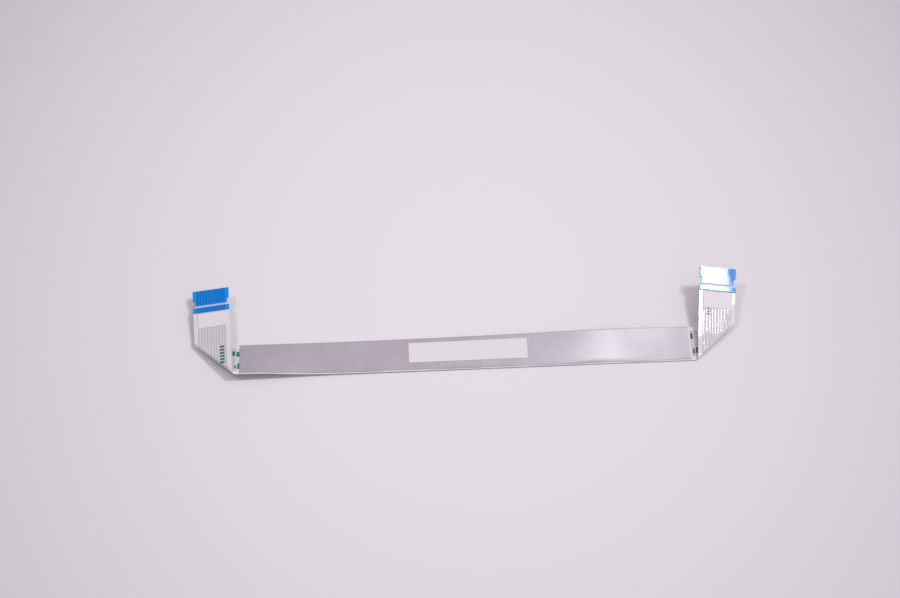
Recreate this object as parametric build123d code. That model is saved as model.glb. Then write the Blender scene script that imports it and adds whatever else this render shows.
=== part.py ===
from build123d import *
import math
import os

# A flat flexible cable, lying on a table. Ten flat conductors are sealed between two
# films. Its long middle strip wears a shield foil and a label, and both ends are folded
# over at about 45 degrees into short tails, each with a stiffened plug end.
# All lengths are in millimetres. The strip runs along X, its tails point to +Y.

# The ribbon
conductor_count = 10
conductor_pitch = 0.5
conductor_width = 0.3
conductor_thickness = 0.05
edge_margin = 0.7
film_thickness = 0.05

# The strip between the two fold centres, and the tails beyond them
strip_length = 82.8
left_tail_length = 14.1
right_tail_length = 13.6

# The strip does not lie flat: its tilt about X and the height of its centre line are
# set at these stations along it, the heights as shares of the ribbon's width
station_shares = (0.045, 0.2, 0.4, 0.6, 0.8, 0.955)
tilt_degrees = (9.8, 2.7, 0.2, -3.2, -8.5, -4.3)
height_shares = (0.114, 0.024, 0.012, 0.036, 0.076, 0.038)
station_step = 3.5

# The folds: the angle between crease and strip, the turn of the bend, the bend's radius
left_crease_angle = 44.4
left_turn_angle = 163.5
left_fold_radius = 0.3
right_crease_angle = 42.5
right_turn_angle = 166.0
right_fold_radius = 0.2
fold_facets = 10
corner_clearance = 0.3

# Behind its label each tail is twisted a little about its middle line, outer edge up
left_twist_angle = 4.0
right_twist_angle = 1.5
twist_facets = 6

# The plug ends, measured back from the tip
ear_length = 1.8
ear_chamfer = 0.25
notch_depth = 0.36
contact_length = 3.3
stiffener_length = 4.15
stiffener_thickness = 0.2
insertion_line_width = 0.35
ink_thickness = 0.02
cut_overrun = 0.5

# The shield foil is folded over the strip's back edge and stops short of its front edge
foil_thickness = 0.06
foil_front_setback = 0.28
foil_end_setback = 0.5

# The labels
label_thickness = 0.06
main_label_length = 19.8
main_label_width = 3.8
main_label_offset = 0.37
main_label_share = 0.504
tail_label_length = 2.8
tail_label_width = 4.75
tail_label_setback = 0.3

# Worked out from the sizes above
conductor_span = (conductor_count - 1) * conductor_pitch
ribbon_width = conductor_span + conductor_width + 2 * edge_margin
half_width = ribbon_width / 2
inner_face = conductor_thickness / 2
outer_face = inner_face + film_thickness
foil_face = outer_face + foil_thickness
flat_length = stiffener_length + tail_label_setback + tail_label_length


def law(share, values):
    """A smooth curve through the station values: cubic between stations, level at both ends."""
    last = len(station_shares) - 1
    slopes = [0.0] * (last + 1)
    for i in range(1, last):
        rise = values[i + 1] - values[i - 1]
        slopes[i] = rise / (station_shares[i + 1] - station_shares[i - 1])
    if share <= station_shares[0]:
        return values[0]
    if share >= station_shares[last]:
        return values[last]
    i = max(k for k in range(last) if station_shares[k] <= share)
    span = station_shares[i + 1] - station_shares[i]
    t = (share - station_shares[i]) / span
    start = (1 + 2 * t) * (1 - t) ** 2 * values[i] + t * (1 - t) ** 2 * span * slopes[i]
    end = t ** 2 * (3 - 2 * t) * values[i + 1] - t ** 2 * (1 - t) * span * slopes[i + 1]
    return start + end


def strip_axes(along):
    """The centre of the strip at a distance along it, with its across and upward directions."""
    share = along / strip_length
    tilt = math.radians(law(share, tilt_degrees))
    centre = Vector(along, 0, law(share, height_shares) * ribbon_width)
    across = Vector(0, math.cos(tilt), -math.sin(tilt))
    up = Vector(0, math.sin(tilt), math.cos(tilt))
    return centre, across, up


def strip_section(outline, along):
    """The outline, given as places across and up, set square to the strip."""
    centre, across, up = strip_axes(along)
    return Wire.make_polygon([centre + across * v + up * w for v, w in outline], close=True)


class Fold:
    """One folded end. Distances run from the fold's centre: positive into the strip,
    negative into the tail. The ribbon bends over a crease through the centre."""

    def __init__(self, along, inward, crease_angle, turn, radius, tail_length, twist):
        self.centre, self.across, self.up = strip_axes(along)
        self.inward = Vector(inward, 0, 0)
        self.angle = math.radians(crease_angle)
        self.turn = math.radians(turn)
        self.radius = radius
        self.tip = -tail_length
        self.twist = math.radians(twist)
        sine, cosine = math.sin(self.angle), math.cos(self.angle)
        self.crease = self.inward * cosine - self.across * sine
        self.over = self.inward * -sine - self.across * cosine
        self.corner = half_width / math.tan(self.angle)
        self.root = -self.corner - self.radius * self.turn / sine - corner_clearance
        self.flat = min(self.tip + flat_length, self.root - film_thickness)

    def point(self, s, v, w):
        """A point of the ribbon: s along it, v across it to the back, w above its middle."""
        sine, cosine = math.sin(self.angle), math.cos(self.angle)
        share = min(max((self.root - s) / (self.root - self.flat), 0), 1)
        lean = self.twist * share ** 2 * (3 - 2 * share)
        v, w = v * math.cos(lean) + w * math.sin(lean), w * math.cos(lean) - v * math.sin(lean)
        t = s * cosine - v * sine
        q = -s * sine - v * cosine
        bend = min(max(q / self.radius, 0), self.turn)
        straight = q - self.radius * bend
        tangent = self.over * math.cos(bend) + self.up * math.sin(bend)
        normal = self.up * math.cos(bend) - self.over * math.sin(bend)
        hub = self.centre + self.crease * t + self.up * self.radius
        return hub - normal * (self.radius - w) + tangent * straight

    def square_section(self, outline, s):
        """The outline set square to the ribbon at s."""
        return Wire.make_polygon([self.point(s, v, w) for v, w in outline], close=True)

    def crease_section(self, outline, bend):
        """The outline laid along the crease, where the ribbon has turned by bend."""
        q = self.radius * bend
        sine, cosine = math.sin(self.angle), math.cos(self.angle)
        points = [self.point(-(q + v * cosine) / sine, v, w) for v, w in outline]
        return Wire.make_polygon(points, close=True)

    def twist_places(self):
        """Where the twist's facets meet, from the flat plug end to the root of the bend."""
        step = (self.root - self.flat) / twist_facets
        return [self.flat + step * i for i in range(twist_facets + 1)]

    def sections(self, outline, start):
        """The sections from the tail to the crease's strip side, the first of them at start."""
        bends = [self.turn * (fold_facets - i) / fold_facets for i in range(fold_facets + 1)]
        ends = [self.square_section(outline, s) for s in [start] + self.twist_places()]
        return ends + [self.crease_section(outline, bend) for bend in bends]

    def tail_plate(self, outline, low, high):
        """A flat plate on the tail. Its outline holds places back from the tip and across."""
        points = [self.point(self.tip + s, v, low) for s, v in outline]
        lift = self.point(self.tip, 0, high) - self.point(self.tip, 0, low)
        return Solid.extrude(Face(Wire.make_polygon(points, close=True)), lift)


left = Fold(
    0, 1, left_crease_angle, left_turn_angle, left_fold_radius, left_tail_length, left_twist_angle
)
right = Fold(
    strip_length, -1, right_crease_angle, right_turn_angle, right_fold_radius, right_tail_length,
    right_twist_angle,
)
ends = {"left": left, "right": right}

# Where the foil and the label start and end along the strip
foil_start = left.corner + foil_end_setback
foil_end = strip_length - right.corner - foil_end_setback
label_start = strip_length * main_label_share - main_label_length / 2
label_end = label_start + main_label_length


def stations(start, end):
    """Evenly spaced places along the strip, no further apart than the station step."""
    count = math.ceil((end - start) / station_step)
    return [start + (end - start) * i / count for i in range(count + 1)]


label_stations = stations(label_start, label_end)
foil_stations = stations(foil_start, label_start) + label_stations[1:] + stations(label_end, foil_end)[1:]


def rectangle(low_v, high_v, low_w, high_w):
    return [(low_v, low_w), (high_v, low_w), (high_v, high_w), (low_v, high_w)]


def ribbon_layer(outline, setback):
    """One layer of the ribbon, from tip to tip less a setback, through both folds."""
    sections = left.sections(outline, left.tip + setback)
    sections += [strip_section(outline, s) for s in foil_stations]
    sections += reversed(right.sections(outline, right.tip + setback))
    return Solid.make_loft(sections, ruled=True)


def strip_layer(outline, places):
    """A layer on the strip alone, through the given places."""
    return Solid.make_loft([strip_section(outline, s) for s in places], ruled=True)


def notches(fold):
    """The two notches behind the ears of a plug end, cut through everything."""
    reach = half_width + cut_overrun
    neck = half_width - notch_depth
    for side in (-1, 1):
        outline = [
            (ear_length, side * half_width),
            (ear_length + ear_chamfer, side * neck),
            (contact_length, side * neck),
            (contact_length, side * reach),
            (ear_length, side * reach),
        ]
        yield fold.tail_plate(outline, -outer_face - stiffener_thickness, outer_face)


def conductor_places():
    return [i * conductor_pitch - conductor_span / 2 for i in range(conductor_count)]


def conductor(place):
    half = conductor_width / 2
    return ribbon_layer(rectangle(place - half, place + half, -inner_face, inner_face), 0)


def upper_film():
    """The film on the contact side: it stops short of the tips and bares the contacts."""
    return ribbon_layer(rectangle(-half_width, half_width, inner_face, outer_face), contact_length)


def lower_film():
    """The film that carries the conductors, each sunk in its own groove."""
    half = conductor_width / 2
    outline = [(-half_width, -outer_face), (half_width, -outer_face), (half_width, inner_face)]
    for place in reversed(conductor_places()):
        outline += [(place + half, inner_face), (place + half, -inner_face)]
        outline += [(place - half, -inner_face), (place - half, inner_face)]
    outline.append((-half_width, inner_face))
    film = ribbon_layer(outline, 0)
    for fold in ends.values():
        for notch in notches(fold):
            film = film.cut(notch)
    return film


def insertion_line(fold):
    """The pale line across the stiffener, between its notches, pressed in flush."""
    neck = half_width - notch_depth
    outline = rectangle(contact_length - insertion_line_width, contact_length, -neck, neck)
    back = -outer_face - stiffener_thickness
    return fold.tail_plate(outline, back, back + ink_thickness)


def stiffener(fold):
    """The stiff blue backing of a plug end, with the same notches as the film."""
    outline = rectangle(0, stiffener_length, -half_width, half_width)
    plate = fold.tail_plate(outline, -outer_face - stiffener_thickness, -outer_face)
    for notch in notches(fold):
        plate = plate.cut(notch)
    return plate.cut(insertion_line(fold))


def tail_label(fold):
    """The small label behind the stiffener: where a short tail twists below it, it follows."""
    start = fold.tip + stiffener_length + tail_label_setback
    end = start + tail_label_length
    half = tail_label_width / 2
    outline = rectangle(-half, half, -outer_face - label_thickness, -outer_face)
    between = [s for s in fold.twist_places() if start < s < end - film_thickness]
    places = [start] + between + [end]
    return Solid.make_loft([fold.square_section(outline, s) for s in places], ruled=True)


def shield_foil():
    """The foil's two legs lie on both faces of the strip and meet round its back edge."""
    front = foil_front_setback - half_width
    back = half_width + foil_thickness
    outline = [
        (front, -foil_face), (back, -foil_face), (back, foil_face), (front, foil_face),
        (front, outer_face), (half_width, outer_face), (half_width, -outer_face), (front, -outer_face),
    ]
    return strip_layer(outline, foil_stations)


def main_label():
    front = main_label_offset - main_label_width / 2
    outline = rectangle(front, front + main_label_width, foil_face, foil_face + label_thickness)
    return strip_layer(outline, label_stations)


nodes = {}
for number, place in enumerate(conductor_places(), start=1):
    nodes[f"conductor_{number:02d}"] = conductor(place)
nodes["upper_film"] = upper_film()
nodes["lower_film"] = lower_film()
nodes["shield_foil"] = shield_foil()
nodes["main_label"] = main_label()
for name, fold in ends.items():
    nodes[f"{name}_stiffener"] = stiffener(fold)
    nodes[f"{name}_insertion_line"] = insertion_line(fold)
    nodes[f"{name}_label"] = tail_label(fold)

# The finished cable stands on z = 0, centred over the origin
box = Compound(list(nodes.values())).bounding_box()
footprint = Location((-box.center().X, -box.center().Y, -box.min.Z))
os.makedirs("parts", exist_ok=True)
for name, solid in nodes.items():
    export_step(solid.moved(footprint), f"parts/{name}.step")
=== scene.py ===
import math

import bpy
import numpy as np
from mathutils import Matrix, Vector


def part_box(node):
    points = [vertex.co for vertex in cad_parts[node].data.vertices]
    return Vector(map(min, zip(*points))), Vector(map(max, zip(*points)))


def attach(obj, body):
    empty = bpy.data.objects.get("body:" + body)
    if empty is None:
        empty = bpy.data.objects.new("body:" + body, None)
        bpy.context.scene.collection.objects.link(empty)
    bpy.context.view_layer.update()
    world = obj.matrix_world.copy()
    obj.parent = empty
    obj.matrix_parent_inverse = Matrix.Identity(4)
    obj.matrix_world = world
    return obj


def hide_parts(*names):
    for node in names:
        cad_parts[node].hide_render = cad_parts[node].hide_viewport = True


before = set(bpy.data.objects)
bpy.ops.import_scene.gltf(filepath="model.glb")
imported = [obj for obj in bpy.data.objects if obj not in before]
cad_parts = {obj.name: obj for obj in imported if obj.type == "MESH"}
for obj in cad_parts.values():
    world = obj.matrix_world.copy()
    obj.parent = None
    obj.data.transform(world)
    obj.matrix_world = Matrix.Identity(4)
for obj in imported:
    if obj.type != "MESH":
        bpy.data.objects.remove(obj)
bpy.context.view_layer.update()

# The camera looks down on the strip from the front, at the angle of the photograph. It is
# set by the place that it aims at, its distance from there, and three angles.
MM = 0.001
SENSOR_WIDTH = 36
PICTURE_WIDTH = 900
FOCAL_LENGTH_IN_PIXELS = 2298.9
camera_aim = Vector((-2.488, 5.682, 0.12)) * MM
camera_distance = 389.7 * MM
camera_elevation = math.radians(57.0)
camera_turn = math.radians(-2.505)
camera_roll = math.radians(-0.13)

level_right = Vector((math.cos(camera_turn), math.sin(camera_turn), 0))
look = Vector((
    -math.sin(camera_turn) * math.cos(camera_elevation),
    math.cos(camera_turn) * math.cos(camera_elevation),
    -math.sin(camera_elevation),
))
level_up = level_right.cross(look)
camera_right = level_right * math.cos(camera_roll) + level_up * math.sin(camera_roll)
camera_up = level_up * math.cos(camera_roll) - level_right * math.sin(camera_roll)
camera = bpy.data.objects.new("camera", bpy.data.cameras.new("camera"))
turned = Matrix((camera_right, camera_up, -look)).transposed()
camera.matrix_world = Matrix.Translation(camera_aim - look * camera_distance) @ turned.to_4x4()
camera.data.lens = FOCAL_LENGTH_IN_PIXELS / PICTURE_WIDTH * SENSOR_WIDTH
camera.data.sensor_width = SENSOR_WIDTH
camera.data.clip_start = 0.01
bpy.context.scene.collection.objects.link(camera)
bpy.context.scene.camera = camera

# The lower film is a ribbon of milky polyester that carries the ten conductors from tip to
# tip. It is rolled flat with them, so they show as low ridges, and it runs in one piece
# through both folds. Every other layer follows the same course.
CONDUCTORS = 10
PITCH = 0.5
CONDUCTOR_WIDTH = 0.3
EDGE_MARGIN = 0.7
SPAN = (CONDUCTORS - 1) * PITCH
STRIPED_HALF = SPAN / 2 + CONDUCTOR_WIDTH / 2
HALF_WIDTH = STRIPED_HALF + EDGE_MARGIN
INNER_FACE = 0.025
OUTER_FACE = 0.075
RIDGE_HEIGHT = 0.022
RIDGE_TOP = 0.12
RIDGE_FLANK = 0.11
STIFFENER_LENGTH = 4.15
STIFFENER = 0.2
STIFFENER_BACK = OUTER_FACE + STIFFENER

# The strip lies a little unevenly. These are its tilt about X and the height of its middle
# line, as a share of the ribbon's width, at stations given as shares of its length.
STRIP_LENGTH = 82.8
STATION_SHARES = np.array([0.045, 0.2, 0.4, 0.6, 0.8, 0.955])
TILT_DEGREES = np.array([9.8, 2.7, 0.2, -3.2, -8.5, -4.3])
HEIGHT_SHARES = np.array([0.114, 0.024, 0.012, 0.036, 0.076, 0.038])

# Each end: where its fold is, the way into the strip, crease angle, turn and radius of the
# bend, tail length, the tail's twist about its middle line, the length over which it eases
# in, and whether that starts along the crease (1) or square across the tail (0)
LEFT = dict(centre=0.0, inward=1.0, angle=44.4, turn=163.5, radius=0.3, tail=14.1)
LEFT.update(twist=4.0, ease=4.4, along_crease=0)
RIGHT = dict(centre=STRIP_LENGTH, inward=-1.0, angle=42.5, turn=166.0, radius=0.2, tail=13.6)
RIGHT.update(twist=1.5, ease=3.5, along_crease=1)
ENDS = {"left": LEFT, "right": RIGHT}
for end in ENDS.values():
    for name in ("angle", "turn", "twist"):
        end[name] = math.radians(end[name])
PAST_BEND = 0.3
SWELL = 0.06
SWELL_LENGTH = 2.6

EAR_LENGTH = 1.8
EAR_CHAMFER = 0.25
NOTCH_DEPTH = 0.36
NOTCH_SHOULDER = 0.004
CONTACT_LENGTH = 3.3


def law(share, values):
    """Cubic Hermite curve through the station values, its slopes taken from both neighbours
    of a station and zero at the two ends, level beyond them."""
    slopes = np.zeros(len(values))
    slopes[1:-1] = (values[2:] - values[:-2]) / (STATION_SHARES[2:] - STATION_SHARES[:-2])
    share = np.clip(share, STATION_SHARES[0], STATION_SHARES[-1])
    i = np.clip(np.searchsorted(STATION_SHARES, share, side="right") - 1, 0, len(values) - 2)
    span = STATION_SHARES[i + 1] - STATION_SHARES[i]
    t = (share - STATION_SHARES[i]) / span
    start = (1 + 2 * t) * (1 - t) ** 2 * values[i] + t * (1 - t) ** 2 * span * slopes[i]
    end = t**2 * (3 - 2 * t) * values[i + 1] - t**2 * (1 - t) * span * slopes[i + 1]
    return start + end


def strip_axes(along):
    """Centre, across and up vectors of the strip: the across vector is +Y turned about X by
    the tilt, and up is square to it."""
    tilt = np.radians(law(along / STRIP_LENGTH, TILT_DEGREES))
    height = law(along / STRIP_LENGTH, HEIGHT_SHARES) * 2 * HALF_WIDTH
    centre = np.stack([along, 0 * along, height], -1)
    across = np.stack([0 * along, np.cos(tilt), -np.sin(tilt)], -1)
    up = np.stack([0 * along, np.sin(tilt), np.cos(tilt)], -1)
    return centre, across, up


def on_strip(s, v, w):
    """Centre of the strip at s, plus v times across, plus w times up."""
    centre, across, up = strip_axes(s)
    return centre + v[..., None] * across + w[..., None] * up


def corner(end):
    """How far the crease reaches along the ribbon's edge from the fold's centre: the half
    width over the tangent of the crease angle."""
    return HALF_WIDTH / math.tan(end["angle"])


def tail_root(end):
    """Where the tail is past its bend over its whole width: the crease's reach, the length of
    the arc measured along the ribbon, and a little more."""
    return -corner(end) - end["radius"] * end["turn"] / math.sin(end["angle"]) - PAST_BEND


def on_end(end, s, v, w):
    """The flat ribbon rolled up over the crease: t runs along the crease and q square to it.
    Up to q = 0 it is flat, then it follows an arc of the bend's radius for its turn, then it
    goes on straight. w is kept along the local normal, towards the hollow of the bend. On the
    tail v and w are first turned by a twist that eases in behind the bend, and the tail
    stands out a little there, falling back as a parabola."""
    centre, across, up = strip_axes(np.array(end["centre"]))
    inward = np.array([end["inward"], 0, 0])
    sine, cosine = math.sin(end["angle"]), math.cos(end["angle"])
    crease = inward * cosine - across * sine
    over = -inward * sine - across * cosine
    s = (s - end["centre"]) * end["inward"]
    start = tail_root(end) + end["along_crease"] * (corner(end) + PAST_BEND - v * cosine / sine)
    share = np.clip((start - s) / end["ease"], 0, 1)
    lean = end["twist"] * share**2 * (3 - 2 * share)
    v, w = v * np.cos(lean) + w * np.sin(lean), w * np.cos(lean) - v * np.sin(lean)
    t = s * cosine - v * sine
    q = -s * sine - v * cosine
    bend = np.clip(q / end["radius"], 0, end["turn"])
    straight = q - end["radius"] * bend
    w = w - SWELL * bend / end["turn"] * np.clip(1 - straight / SWELL_LENGTH, 0, 1) ** 2
    straight = straight[..., None]
    sine_bend, cosine_bend = np.sin(bend)[..., None], np.cos(bend)[..., None]
    tangent = over * cosine_bend + up * sine_bend
    normal = up * cosine_bend - over * sine_bend
    hub = centre + crease * t[..., None] + up * end["radius"]
    return hub - normal * (end["radius"] - w)[..., None] + tangent * straight


def course(s, v, w):
    """Place of the ribbon's point s along, v across, w above its middle: rolled over a crease
    beyond the first and last stations, and on the strip between them."""
    s, v, w = np.broadcast_arrays(*(np.asarray(values, float) for values in (s, v, w)))
    place = on_strip(s, v, w)
    near_left = s < STATION_SHARES[0] * STRIP_LENGTH
    near_right = s > STATION_SHARES[-1] * STRIP_LENGTH
    place = np.where(near_left[..., None], on_end(LEFT, s, v, w), place)
    return np.where(near_right[..., None], on_end(RIGHT, s, v, w), place)


TAIL_STEPS = 24
BEND_STEPS = 26
STRIP_STEPS = 130


def end_stations(end, setback):
    """Places along one end, from tip to strip, each with its slant ds/dv: square to the
    ribbon on the tail, along the crease through the bend, and easing evenly between them."""
    tail = np.linspace(setback - end["tail"], tail_root(end), TAIL_STEPS)
    arc = end["radius"] * end["turn"] / math.sin(end["angle"])
    bend = -arc * np.linspace(1, 0, BEND_STEPS)
    slant = -1 / math.tan(end["angle"])
    share = np.linspace(0, 1, BEND_STEPS)[1:-1]
    between = tail[-1] + (bend[0] - tail[-1]) * share
    s = np.concatenate([tail, between, bend])
    slants = np.concatenate([0 * tail, slant * share, 0 * bend + slant])
    if end["inward"] < 0:
        return end["centre"] - s[::-1], -slants[::-1]
    return end["centre"] + s, slants


def ribbon_stations(setback):
    """Places and slants of a layer that runs from tip to tip, less a setback."""
    left_s, left_slant = end_stations(LEFT, setback)
    right_s, right_slant = end_stations(RIGHT, setback)
    first, last = corner(LEFT) + PAST_BEND, STRIP_LENGTH - corner(RIGHT) - PAST_BEND
    middle = np.linspace(first, last, STRIP_STEPS)
    s = np.concatenate([left_s, middle, right_s])
    return s, np.concatenate([left_slant, 0 * middle, right_slant])


def ridges(v):
    """0 in the valleys and margins, 1 over each conductor, with cosine flanks."""
    nearest = np.clip(np.round((v + SPAN / 2) / PITCH), 0, CONDUCTORS - 1) * PITCH - SPAN / 2
    flank = np.clip((np.abs(v - nearest) - RIDGE_TOP) / RIDGE_FLANK, 0, 1)
    return 0.5 + 0.5 * np.cos(math.pi * flank)


def notched(s, v, w):
    """Draws the margins in to the neck between the ears and the full width: beyond the outer
    conductors, v is scaled so that the edge meets the local half width."""
    back = np.minimum(s + LEFT["tail"], STRIP_LENGTH + RIGHT["tail"] - s)
    depth = np.interp(back, [EAR_LENGTH, EAR_LENGTH + EAR_CHAMFER], [0, NOTCH_DEPTH])
    depth = np.where(back > CONTACT_LENGTH, 0, depth)
    scale = (HALF_WIDTH - depth - STRIPED_HALF) / (HALF_WIDTH - STRIPED_HALF)
    outside = np.clip(np.abs(v) - STRIPED_HALF, 0, None)
    return s, np.sign(v) * (np.minimum(np.abs(v), STRIPED_HALF) + outside * scale), w


def from_tip(end, back):
    """Places on a tail, given as distances back from its tip."""
    return back - end["tail"] if end is LEFT else STRIP_LENGTH + end["tail"] - back


def plug_stations():
    """Stations at both sides of each corner of the notches, as distances from the tip."""
    return np.array([
        EAR_LENGTH, EAR_LENGTH + EAR_CHAMFER, CONTACT_LENGTH, CONTACT_LENGTH + NOTCH_SHOULDER
    ])


def with_plugs(s, slant):
    """Adds the notch stations of both plug ends to a layer's stations."""
    extra = np.concatenate([from_tip(end, plug_stations()) for end in (LEFT, RIGHT)])
    order = np.argsort(np.concatenate([s, extra]), kind="stable")
    return np.concatenate([s, extra])[order], np.concatenate([slant, 0 * extra])[order]


def offset_to_frame():
    """From the course's own zero to the frame: the CAD's left stiffener is a flat plate on
    the tail, so the lowest corner of its box gives the shift."""
    plate_v, plate_s = np.meshgrid([-HALF_WIDTH, HALF_WIDTH], [0, STIFFENER_LENGTH])
    faces = [course(plate_s - LEFT["tail"], plate_v, w) for w in (-OUTER_FACE, -STIFFENER_BACK)]
    low = np.concatenate(faces).reshape(-1, 3).min(0)
    return np.array(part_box("left_stiffener")[0]) / MM - low


OFFSET = offset_to_frame()
SHARP_EDGE = math.radians(35)


def sweep(name, profile, s, slant, material, shape=None):
    """A closed solid: the profile, a ring of (v, w) corners, is carried along the course. At
    each station s_j the ring's points stand at s = s_j + slant_j * v, and both ends are
    capped. The mesh keeps s and v as its UV map."""
    ring_v, ring_w = profile[:, 0][None, :], profile[:, 1][None, :]
    grid_s = s[:, None] + slant[:, None] * ring_v
    grid_v = ring_v + 0 * grid_s
    grid_w = ring_w + 0 * grid_s
    if shape:
        grid_s, grid_v, grid_w = shape(grid_s, grid_v, grid_w)
    points = (course(grid_s, grid_v, grid_w) + OFFSET) * MM
    rows, columns = grid_s.shape
    index = np.arange(rows * columns).reshape(rows, columns)
    following = np.roll(index, -1, axis=1)
    faces = np.stack([index[:-1], following[:-1], following[1:], index[1:]], -1).reshape(-1, 4)
    faces = faces.tolist() + [index[0, ::-1].tolist(), index[-1].tolist()]
    mesh = bpy.data.meshes.new(name)
    mesh.from_pydata(points.reshape(-1, 3), [], faces)
    corners = np.zeros(len(mesh.loops), np.int32)
    mesh.loops.foreach_get("vertex_index", corners)
    flat = np.stack([grid_s.ravel(), grid_v.ravel()], -1)[corners]
    mesh.uv_layers.new(name="course").data.foreach_set("uv", flat.ravel())
    mesh.polygons.foreach_set("use_smooth", np.ones(len(mesh.polygons), bool))
    mesh.set_sharp_from_angle(angle=SHARP_EDGE)
    mesh.materials.append(material)
    mesh.validate()
    piece = bpy.data.objects.new(name, mesh)
    bpy.context.scene.collection.objects.link(piece)
    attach(piece, "root")
    return piece


class Signal:
    """A socket of one finish's node tree. Sums on signals add Math nodes to that tree."""

    def __init__(self, tree, socket):
        self.tree = tree
        self.socket = socket

    def node(self, kind, settings, inputs, output=0):
        """Adds a node: its settings first, then the values or links of its sockets."""
        made = self.tree.nodes.new(kind)
        for name, value in settings.items():
            setattr(made, name, value)
        for name, value in inputs.items():
            if isinstance(value, Signal):
                self.tree.links.new(value.socket, made.inputs[name])
            else:
                made.inputs[name].default_value = value
        return Signal(self.tree, made.outputs[output])

    def maths(self, operation, *values):
        """A Math node on signals and plain numbers."""
        return self.node("ShaderNodeMath", {"operation": operation}, dict(enumerate(values)))

    def __add__(self, other):
        return self.maths("ADD", self, other)

    __radd__ = __add__

    def __sub__(self, other):
        return self.maths("SUBTRACT", self, other)

    def __rsub__(self, other):
        return self.maths("SUBTRACT", other, self)

    def __mul__(self, other):
        return self.maths("MULTIPLY", self, other)

    __rmul__ = __mul__

    def __abs__(self):
        return self.maths("ABSOLUTE", self)

    def above(self, low, high):
        """0 below low, 1 above high, and a smooth step between."""
        settings = {"interpolation_type": "SMOOTHSTEP"}
        return self.node("ShaderNodeMapRange", settings, {0: self, 1: low, 2: high})

    def within(self, low, high, soft):
        """1 between low and high, with soft edges."""
        return self.above(low - soft, low + soft) - self.above(high - soft, high + soft)

    def tint(self, dark, light):
        """Mixes two colours, signals or plain, by this mask."""
        settings = {"data_type": "RGBA"}
        inputs = {0: self, 6: self.colour(dark), 7: self.colour(light)}
        return self.node("ShaderNodeMix", settings, inputs, output=2)

    @staticmethod
    def colour(value):
        return value if isinstance(value, Signal) else (*value, 1)

    def part(self, axis):
        """One part of this vector: 0, 1 or 2."""
        return self.node("ShaderNodeSeparateXYZ", {}, {0: self}, output=axis)

    def beside(self, second, third=0.0):
        """A vector of this signal and two more."""
        return self.node("ShaderNodeCombineXYZ", {}, {0: self, 1: second, 2: third})

    def noise(self, scale, detail):
        """Soft noise read at this vector."""
        inputs = {"Vector": self, "Scale": scale, "Detail": detail}
        return self.node("ShaderNodeTexNoise", {}, inputs)

    def bump(self, strength, distance):
        """Relief in the shading from this height."""
        inputs = {"Height": self, "Strength": strength, "Distance": distance}
        return self.node("ShaderNodeBump", {}, inputs)


def finish_of(name):
    """A new material, its shader, and the place on the object in metres."""
    material = bpy.data.materials.new(name)
    material.use_nodes = True
    place = Signal(material.node_tree, None).node("ShaderNodeTexCoord", {}, {}, output=3)
    return material, material.node_tree.nodes["Principled BSDF"], place


def along_and_across(place):
    """The course coordinates s and v in mm, from the UV map of a swept piece."""
    course_uv = place.node("ShaderNodeUVMap", {"uv_map": "course"}, {})
    return course_uv.part(0), course_uv.part(1)


def feed(shader, **signals):
    """Links signals to the shader's sockets, or sets plain values on them."""
    for name, value in signals.items():
        socket = shader.inputs[name.replace("_", " ")]
        if isinstance(value, Signal):
            value.tree.links.new(value.socket, socket)
        else:
            socket.default_value = value


def grey(level):
    return (level, level, level)


def striped_part(v, full, none):
    """1 over the conductors and 0 on the margins. It fades between these two distances, in
    mm, beyond the middle of the outermost conductor."""
    return 1 - abs(v).above(SPAN / 2 + full, SPAN / 2 + none)


SHADE_FULL = 0.2
SHADE_NONE = 0.38


def conductor_shade(v):
    """1 over each conductor and 0 between them: the distance to the nearest one, in pitches,
    is the fraction of v over the pitch, less a half, and the shade fades over it."""
    across = (v + (SPAN / 2 + PITCH / 2)) * (1 / PITCH)
    gap = abs(across.maths("FRACT", across) - 0.5)
    return (1 - gap.above(SHADE_FULL, SHADE_NONE)) * striped_part(v, full=0.17, none=0.23)


# Printed green bars, as (low s, high s, low v, high v) along the course: a few on the strip
# beside both creases, then a row of six on the left tail and a row of three on the right one.
BAR_EDGE = 0.03
GREEN_INK = (0.012, 0.2, 0.07)
GREEN_BARS = [
    (2.43, 2.9, 0.9, 1.95),
    (3.1, 3.67, 0.66, 1.7),
    (2.78, 3.1, -1.9, -1.3),
    (3.3, 3.7, -2.0, -0.84),
    (79.05, 79.44, 0.8, 1.95),
    (79.22, 79.55, -1.97, -0.95),
    (79.72, 80.13, -1.8, -0.78),
]
GREEN_BARS += [(low, low + 0.38, -2.0, -1.2) for low in (-2.9, -2.3, -1.7, -1.1, -0.5, 0.1)]
GREEN_BARS += [(low, low + 0.26, -1.8, -1.0) for low in STRIP_LENGTH + np.array([5.1, 5.55, 6.0])]

FILM_MARGIN = grey(0.74)
FILM_MIDDLE = grey(0.64)
FILM_OVER_CONDUCTOR = grey(0.53)
FILM_CLOUD = grey(0.7)


def white_film():
    """Milky film over tinned conductors: white margins, a greyer middle with a darker line
    over each conductor, a faint cloudiness, and green printed bars beside the folds."""
    material, shader, place = finish_of("white_film")
    s, v = along_and_across(place)
    cloud = place.noise(scale=700.0, detail=3.0)
    body = striped_part(v, full=0.12, none=0.26).tint(FILM_MARGIN, FILM_MIDDLE)
    body = conductor_shade(v).tint(body, FILM_OVER_CONDUCTOR)
    body = (cloud * 0.25).tint(body, FILM_CLOUD)
    bars = sum(
        s.within(low_s, high_s, BAR_EDGE) * v.within(low_v, high_v, BAR_EDGE)
        for low_s, high_s, low_v, high_v in GREEN_BARS
    )
    body = bars.tint(body, GREEN_INK)
    feed(shader, Base_Color=body, Roughness=0.04 + cloud * 0.025, Specular_IOR_Level=0.4)
    return material


FILM_POINTS = 125


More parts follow.
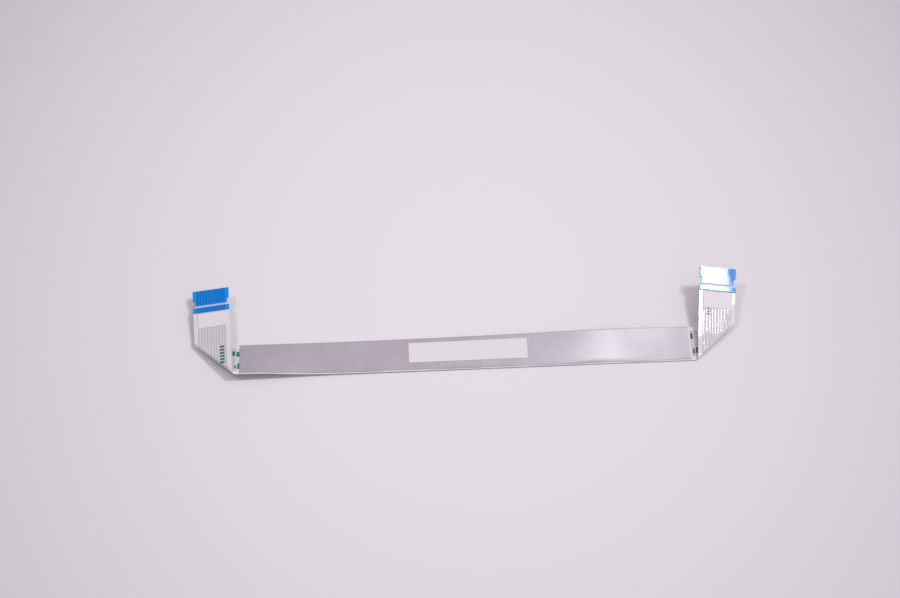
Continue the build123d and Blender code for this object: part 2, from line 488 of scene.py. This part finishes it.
def film_profile(outer, inner, grooved):
    """A ring round a film: its outer side follows the ridges, its inner side is flat or has
    a square groove for each conductor. outer and inner are signed heights."""
    v = np.linspace(-HALF_WIDTH, HALF_WIDTH, FILM_POINTS)
    side = math.copysign(1, outer)
    outside = np.stack([v, outer - side * RIDGE_HEIGHT * (1 - ridges(v))], -1)
    inside = np.array([[-HALF_WIDTH, inner], [HALF_WIDTH, inner]])
    if grooved:
        middles = np.arange(CONDUCTORS) * PITCH - SPAN / 2
        low, high = middles - CONDUCTOR_WIDTH / 2, middles + CONDUCTOR_WIDTH / 2
        edges = np.stack([low, low, high, high], -1)
        depths = np.broadcast_to([inner, -inner, -inner, inner], edges.shape)
        grooves = np.stack([edges.ravel(), depths.ravel()], -1)
        inside = np.concatenate([inside[:1], grooves, inside[1:]])
    ring = np.concatenate([outside, inside[::-1]])
    return ring if side < 0 else ring[::-1]


film = white_film()
lower_film = sweep(
    "ribbon_lower_film",
    film_profile(-OUTER_FACE, INNER_FACE, True),
    *with_plugs(*ribbon_stations(0)),
    film,
    notched,
)
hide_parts("lower_film")

# The upper film is a second ribbon of the same polyester, bonded to the first over the
# conductors, so it shows the same ridges. It stops short of both tips, where the contacts
# are bare.
upper_film = sweep(
    "ribbon_upper_film",
    film_profile(OUTER_FACE, INNER_FACE, False),
    *ribbon_stations(CONTACT_LENGTH),
    film,
)
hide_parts("upper_film")

# The ten conductors are flat tinned copper, rolled with a slightly rounded edge. They lie
# in the lower film's grooves and are bare on the underside of both plug ends.
CONDUCTOR_EDGE = 0.012
TIN_DARK = (0.66, 0.65, 0.64)
TIN_LIGHT = (0.82, 0.81, 0.8)


def tinned_copper():
    """Satin tin with fine rolling lines along the conductor."""
    material, shader, place = finish_of("tinned_copper")
    s, v = along_and_across(place)
    lines = (s * 0.4).beside(v * 30.0).noise(scale=1.0, detail=4.0)
    body = lines.tint(TIN_DARK, TIN_LIGHT)
    feed(shader, Base_Color=body, Metallic=1.0, Roughness=0.24 + lines * 0.14)
    return material


def conductor_profile(middle):
    """A flat wire's section round its middle: a rectangle with its four corners cut off."""
    left, right = middle - CONDUCTOR_WIDTH / 2, middle + CONDUCTOR_WIDTH / 2
    face, edge = INNER_FACE, CONDUCTOR_EDGE
    return np.array([
        (left, -face + edge), (left + edge, -face), (right - edge, -face), (right, -face + edge),
        (right, face - edge), (right - edge, face), (left + edge, face), (left, face - edge),
    ])


tin = tinned_copper()
for number in range(CONDUCTORS):
    ring = conductor_profile(number * PITCH - SPAN / 2)
    conductor = sweep(f"ribbon_conductor_{number + 1:02d}", ring, *ribbon_stations(0), tin)
    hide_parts(f"conductor_{number + 1:02d}")

# The shield is one strip of soft foil folded over the ribbon's back edge, with both legs
# stuck down. Its open seam runs just inside the front edge and is pinched a little unevenly.
FOIL = 0.06
FOIL_FACE = OUTER_FACE + FOIL
FOIL_SETBACK = 0.28
FOIL_END = 0.5
FOIL_START = corner(LEFT) + FOIL_END
FOIL_STOP = STRIP_LENGTH - corner(RIGHT) - FOIL_END
FOIL_STEPS = 260
FOIL_LEG_POINTS = 40
FOIL_BACK_POINTS = 9
FOIL_DARK = (0.59, 0.607, 0.61)
FOIL_LIGHT = (0.73, 0.75, 0.753)
FOIL_CUT_EDGE = grey(0.8)
# Painted shade: near black in the small nick of the front lip, where its hollow lies in shade; then
# where the nick is, and the half width and soft edge of that shade
NICK_PAINTED_SHADE = (0.05, 0.04, 0.05)
NICK_AT = 27.8
NICK_SHADE_HALF = 0.07
NICK_SHADE_EDGE = 0.05


def shield_foil():
    """Satin foil: a fine grain drawn across the strip, a few broad dull patches, a pale cut
    edge at the right, and painted shade, near black, in one small nick at the front."""
    material, shader, place = finish_of("shield_foil")
    s, v = along_and_across(place)
    grain = (s * 2.5).beside(v * 0.3).noise(scale=1.0, detail=5.0)
    patch = (s * 0.25).beside(v * 0.3, 7.0).noise(scale=1.0, detail=3.0)
    speck = place.noise(scale=9000.0, detail=2.0)
    body = (grain * 0.6 + patch * 0.4).tint(FOIL_DARK, FOIL_LIGHT)
    at_front = 1 - v.above(low=-2.7, high=-2.4)
    # Painted shade in the nick: a near-black mark over the front of the foil at the nick
    nick_shade = s.within(NICK_AT - NICK_SHADE_HALF, NICK_AT + NICK_SHADE_HALF, NICK_SHADE_EDGE) * at_front
    body = nick_shade.tint(body, NICK_PAINTED_SHADE)
    cut_edge = s.above(low=FOIL_STOP - 0.22, high=FOIL_STOP - 0.16)
    feed(
        shader,
        Base_Color=cut_edge.tint(body, FOIL_CUT_EDGE),
        Metallic=1 - cut_edge,
        Roughness=0.24 + patch * 0.08 + grain * 0.05,
        Coat_Weight=1.0,
        Coat_Roughness=0.14,
        Coat_IOR=1.8,
        Normal=(grain + speck * 0.3).bump(strength=0.6, distance=0.00002),
    )
    return material


def foil_profile():
    """A ring with the section of a folded strip: two legs and a round back."""
    front, back = FOIL_SETBACK - HALF_WIDTH, HALF_WIDTH
    places = np.linspace(front, back, FOIL_LEG_POINTS)
    turn = np.linspace(-math.pi / 2, math.pi / 2, FOIL_BACK_POINTS)[1:-1]
    bulge = np.stack([back + FOIL * np.cos(turn), FOIL_FACE * np.sin(turn)], -1)
    under = np.stack([places, 0 * places - FOIL_FACE], -1)
    over = np.stack([places[::-1], 0 * places + FOIL_FACE], -1)
    within = [(front, OUTER_FACE), (back, OUTER_FACE), (back, -OUTER_FACE), (front, -OUTER_FACE)]
    return np.concatenate([under, bulge, over, within])


# The front lip's waves, each as its height in mm, its rate in radians per mm, and its start
LIP_WANDER = [(0.035, 0.41, 1.0), (0.025, 1.13, 0.0)]
LIP_LIFT = [(0.02, 0.29, 2.0), (0.012, 0.83, 0.0)]
LIP_OUTWARD = 0.08
LIP_RISE = 0.02
LIP_DEPTH = 0.5
NICK_WIDTH = 0.14
NICK_DEPTH = 0.3
NICK_RISE = 0.05
NICK_REACH = 0.4
NICK_STEPS = 17


def waves(s, terms):
    """Sum of sines along the strip: height times the sine of rate times s plus start."""
    return sum(height * np.sin(rate * s + start) for height, rate, start in terms)


def pinched(s, v, w):
    """The top leg's front lip wanders in and lifts by slow sums of sines along the strip, and
    has one small nick, a bell curve in s. The wander fades evenly behind the lip, and the
    lift as a square."""
    near_front = np.clip(1 - (v + HALF_WIDTH - FOIL_SETBACK) / LIP_DEPTH, 0, 1)
    top = w > 0
    wander = waves(s, LIP_WANDER) - LIP_OUTWARD
    lift = np.maximum(LIP_RISE + waves(s, LIP_LIFT), 0)
    nick = np.exp(-(((s - NICK_AT) / NICK_WIDTH) ** 2))
    v = v + np.where(top, near_front * (wander + NICK_DEPTH * nick), 0)
    return s, v, w + np.where(top, near_front**2 * (lift + NICK_RISE * nick), 0)


nick_stations = NICK_AT + np.linspace(-NICK_REACH, NICK_REACH, NICK_STEPS)
foil_s = np.sort(np.concatenate([np.linspace(FOIL_START, FOIL_STOP, FOIL_STEPS), nick_stations]))
foil = sweep("shield_foil_wrap", foil_profile(), foil_s, 0 * foil_s, shield_foil(), pinched)
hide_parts("shield_foil")

# The main label is a long strip of white film stock, cut square and stuck on the middle of
# the foil. It lies close on it, and its long edges are a little rounded from the cutting.
LABEL = 0.06
LABEL_LENGTH = 19.8
LABEL_WIDTH = 3.8
LABEL_OFFSET = 0.37
LABEL_MIDDLE = STRIP_LENGTH * 0.504
LABEL_START = LABEL_MIDDLE - LABEL_LENGTH / 2
LABEL_STEPS = 60
LABEL_EDGE = 0.02
LABEL_DARK = (0.72, 0.72, 0.715)
LABEL_LIGHT = (0.77, 0.77, 0.765)


def label_stock():
    """White stock, a touch warm, with a faint fibre."""
    material, shader, place = finish_of("label_stock")
    fibre = place.noise(scale=2500.0, detail=6.0)
    feed(
        shader,
        Base_Color=fibre.tint(LABEL_DARK, LABEL_LIGHT),
        Roughness=0.5 + fibre * 0.15,
        Normal=fibre.bump(strength=0.1, distance=0.00001),
    )
    return material


ROUND_POINTS = 4
FLAT_POINTS = 14
FLAT_INSET = 1.5


def plate_profile(low_v, high_v, low_w, high_w, round_off):
    """A ring round a thin plate, its outer long edges rounded off by a quarter ellipse that
    takes half the thickness. The points close beside the rounding keep the flat face flat in
    its shading."""
    turn = np.linspace(0, math.pi / 2, ROUND_POINTS)
    rise = high_w - low_w
    inset = round_off * (1 - np.cos(turn))
    height = high_w - rise * 0.5 * (1 - np.sin(turn))
    left = np.stack([low_v + inset, height], -1)
    right = np.stack([high_v - inset, height], -1)[::-1]
    clear = round_off * FLAT_INSET
    flat_v = np.linspace(low_v + clear, high_v - clear, FLAT_POINTS)
    flat = np.stack([flat_v, 0 * flat_v + high_w], -1)
    ring = np.concatenate([[(high_v, low_w), (low_v, low_w)], left, flat, right])
    return ring[::-1] if rise > 0 else ring


stock = label_stock()
label_s = LABEL_START + np.linspace(0, LABEL_LENGTH, LABEL_STEPS)
label_front = LABEL_OFFSET - LABEL_WIDTH / 2
label_back = label_front + LABEL_WIDTH
main_label = sweep(
    "main_label_stock",
    plate_profile(label_front, label_back, FOIL_FACE, FOIL_FACE + LABEL, LABEL_EDGE),
    label_s,
    0 * label_s,
    stock,
)
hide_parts("main_label")

# Each plug end is backed by a plate of blue polyester, punched with the film so that it has
# the same ears and notches. The conductors below show through it as darker stripes.
BACKING_STEPS = 14
BACKING_EDGE = 0.05
BLUE_MARGIN = (0.0, 0.31, 0.74)
BLUE_MIDDLE = (0.0, 0.235, 0.66)
BLUE_OVER_CONDUCTOR = (0.0, 0.16, 0.55)
BLUE_CLOUD = (0.0, 0.24, 0.68)


def blue_backing():
    """Glossy blue: paler margins, darker stripes over the conductors, a faint cloudiness."""
    material, shader, place = finish_of("blue_backing")
    s, v = along_and_across(place)
    cloud = place.noise(scale=1200.0, detail=3.0)
    body = striped_part(v, full=0.1, none=0.3).tint(BLUE_MARGIN, BLUE_MIDDLE)
    body = conductor_shade(v).tint(body, BLUE_OVER_CONDUCTOR)
    body = (cloud * 0.3).tint(body, BLUE_CLOUD)
    feed(shader, Base_Color=body, Roughness=0.02 + cloud * 0.015, Specular_IOR_Level=0.3)
    return material


def tail_stations(end, back):
    """Distances back from a tail's tip as rising stations, square across the ribbon."""
    s = np.sort(from_tip(end, back))
    return s, 0 * s


blue = blue_backing()
backing_stations = np.concatenate([np.linspace(0, STIFFENER_LENGTH, BACKING_STEPS), plug_stations()])
backing_ring = plate_profile(-HALF_WIDTH, HALF_WIDTH, -OUTER_FACE, -STIFFENER_BACK, BACKING_EDGE)
for side, end in ENDS.items():
    stations = tail_stations(end, backing_stations)
    plate = sweep(f"{side}_plug_backing", backing_ring, *stations, blue, notched)
    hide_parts(f"{side}_stiffener")

# A line of thin white ink is printed across the neck of each backing, from notch to notch.
# It shows how deep the plug end goes into its connector.
LINE_WIDTH = 0.35
LINE_STEPS = 5
LINE_EDGE = 0.02
INK = 0.008
INK_BETWEEN = (0.52, 0.55, 0.7)
INK_OVER_CONDUCTOR = (0.45, 0.49, 0.66)
INK_SPECK = (0.56, 0.6, 0.72)


def white_ink():
    """Thin white ink, through which the stripes below still show a little."""
    material, shader, place = finish_of("white_ink")
    s, v = along_and_across(place)
    speck = place.noise(scale=6000.0, detail=3.0)
    body = conductor_shade(v).tint(INK_BETWEEN, INK_OVER_CONDUCTOR)
    body = (speck * 0.3).tint(body, INK_SPECK)
    feed(shader, Base_Color=body, Roughness=0.45 + speck * 0.1)
    return material


ink = white_ink()
neck = HALF_WIDTH - NOTCH_DEPTH
line_stations = np.linspace(CONTACT_LENGTH - LINE_WIDTH, CONTACT_LENGTH, LINE_STEPS)
line_ring = plate_profile(-neck, neck, -STIFFENER_BACK, -STIFFENER_BACK - INK, LINE_EDGE)
for side, end in ENDS.items():
    line = sweep(f"{side}_line", line_ring, *tail_stations(end, line_stations), ink)
    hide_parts(f"{side}_insertion_line")

# Each tail has a small label of the same white stock, cut narrower than the ribbon. It is
# stuck on just behind the backing and follows the tail's twist.
TAIL_LABEL_GAP = 0.3
TAIL_LABEL_LENGTH = 2.8
TAIL_LABEL_WIDTH = 4.75
TAIL_LABEL_HALF = TAIL_LABEL_WIDTH / 2
TAIL_LABEL_STEPS = 12
tail_label_start = STIFFENER_LENGTH + TAIL_LABEL_GAP
tail_label_stop = tail_label_start + TAIL_LABEL_LENGTH
tail_label_stations = np.linspace(tail_label_start, tail_label_stop, TAIL_LABEL_STEPS)
tail_label_ring = plate_profile(
    -TAIL_LABEL_HALF, TAIL_LABEL_HALF, -OUTER_FACE, -OUTER_FACE - LABEL, LABEL_EDGE
)
for side, end in ENDS.items():
    stations = tail_stations(end, tail_label_stations)
    tail_label = sweep(f"{side}_tail_label", tail_label_ring, *stations, stock)
    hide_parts(f"{side}_label")

# The ribbon is the cable's free cord. Its middle line runs from tip to tip through both
# folds, and both ends plug into a connector.
line_s, _ = ribbon_stations(0)
middle_line = (course(line_s, 0, 0) + OFFSET) * MM

# The table is a plain matte surface of a neutral white, level with the underside of the
# cable. It is darker away from the cable, as in the photograph: painted fall-off of the light.
TABLE_REACH = 0.6
TABLE_NEAR = grey(0.778)
TABLE_FAR_PAINTED_SHADE = grey(0.48)
TABLE_SHIFT = (0.003, -0.006, 0)
TABLE_SPREAD = (12.0, 10.0, 0)
TABLE_PAINTED_FALLOFF = 0.57


def table_top():
    """Matte white with painted fall-off of the light: it darkens with the square of the
    distance from its middle, which counts for more along the cable than across it."""
    material, shader, place = finish_of("table_top")
    centred = place.node("ShaderNodeVectorMath", {"operation": "ADD"}, {0: place, 1: TABLE_SHIFT})
    scaled = place.node("ShaderNodeVectorMath", {"operation": "MULTIPLY"}, {0: centred, 1: TABLE_SPREAD})
    away = place.node("ShaderNodeVectorMath", {"operation": "LENGTH"}, {0: scaled}, output=1)
    # Painted shade: the light's fall-off away from the cable, put into the table's colour
    body = (away * away * TABLE_PAINTED_FALLOFF).tint(TABLE_NEAR, TABLE_FAR_PAINTED_SHADE)
    feed(shader, Base_Color=body, Roughness=0.6)
    return material


table_corners = [(x * TABLE_REACH, y * TABLE_REACH, 0) for x, y in ((-1, -1), (1, -1), (1, 1), (-1, 1))]
table_mesh = bpy.data.meshes.new("table")
table_mesh.from_pydata(table_corners, [], [(0, 1, 2, 3)])
table_mesh.materials.append(table_top())
table = bpy.data.objects.new("table", table_mesh)
bpy.context.scene.collection.objects.link(table)

# The light is a soft box on the right and a weaker one on the left, a small one overhead for
# the foil's highlight, and a small one above the right tail for its plug's glare. The sky
# fills in, brighter on the right than on the left and a little brighter towards its top.
LAMP_TINT = (1.0, 1.03, 1.02)
LAMP_DISTANCE = 1.5


def soft_box(name, towards, sideways, upwards, power):
    """A rectangular lamp in the given direction from the object, turned to face it."""
    lamp = bpy.data.objects.new(name, bpy.data.lights.new(name, "AREA"))
    lamp.data.shape = "RECTANGLE"
    lamp.data.size = sideways
    lamp.data.size_y = upwards
    lamp.data.energy = power
    lamp.data.color = LAMP_TINT
    direction = Vector(towards).normalized()
    turned = direction.to_track_quat("Z", "Y").to_matrix().to_4x4()
    lamp.matrix_world = Matrix.Translation(direction * LAMP_DISTANCE) @ turned
    bpy.context.scene.collection.objects.link(lamp)


soft_box("right_lamp", towards=(0.70, 0.27, 1.0), sideways=0.24, upwards=0.24, power=8.4)
soft_box("left_lamp", towards=(-0.53, 0.23, 1.0), sideways=0.14, upwards=0.14, power=3.1)
soft_box("top_lamp", towards=(0.085, 0.23, 0.97), sideways=0.1, upwards=0.1, power=0.15)
soft_box("glare_lamp", towards=(0.407, 0.080, 0.910), sideways=0.085, upwards=0.045, power=0.48)

LEFT_SKY_LOW, LEFT_SKY_HIGH = (0.33, 0.277, 0.33), (0.41, 0.344, 0.41)
RIGHT_SKY_LOW, RIGHT_SKY_HIGH = (0.74, 0.62, 0.74), (0.76, 0.637, 0.76)
world = bpy.data.worlds.new("sky")
bpy.context.scene.world = world
world.use_nodes = True
toward = Signal(world.node_tree, None).node("ShaderNodeTexCoord", {}, {}, output=0)
height = toward.part(2).above(low=0.3, high=1.0)
left_sky = height.tint(LEFT_SKY_LOW, LEFT_SKY_HIGH)
right_sky = height.tint(RIGHT_SKY_LOW, RIGHT_SKY_HIGH)
sky = toward.part(0).above(low=-0.9, high=0.9).tint(left_sky, right_sky)
world.node_tree.links.new(sky.socket, world.node_tree.nodes["Background"].inputs[0])

bpy.context.scene.view_settings.view_transform = "Standard"
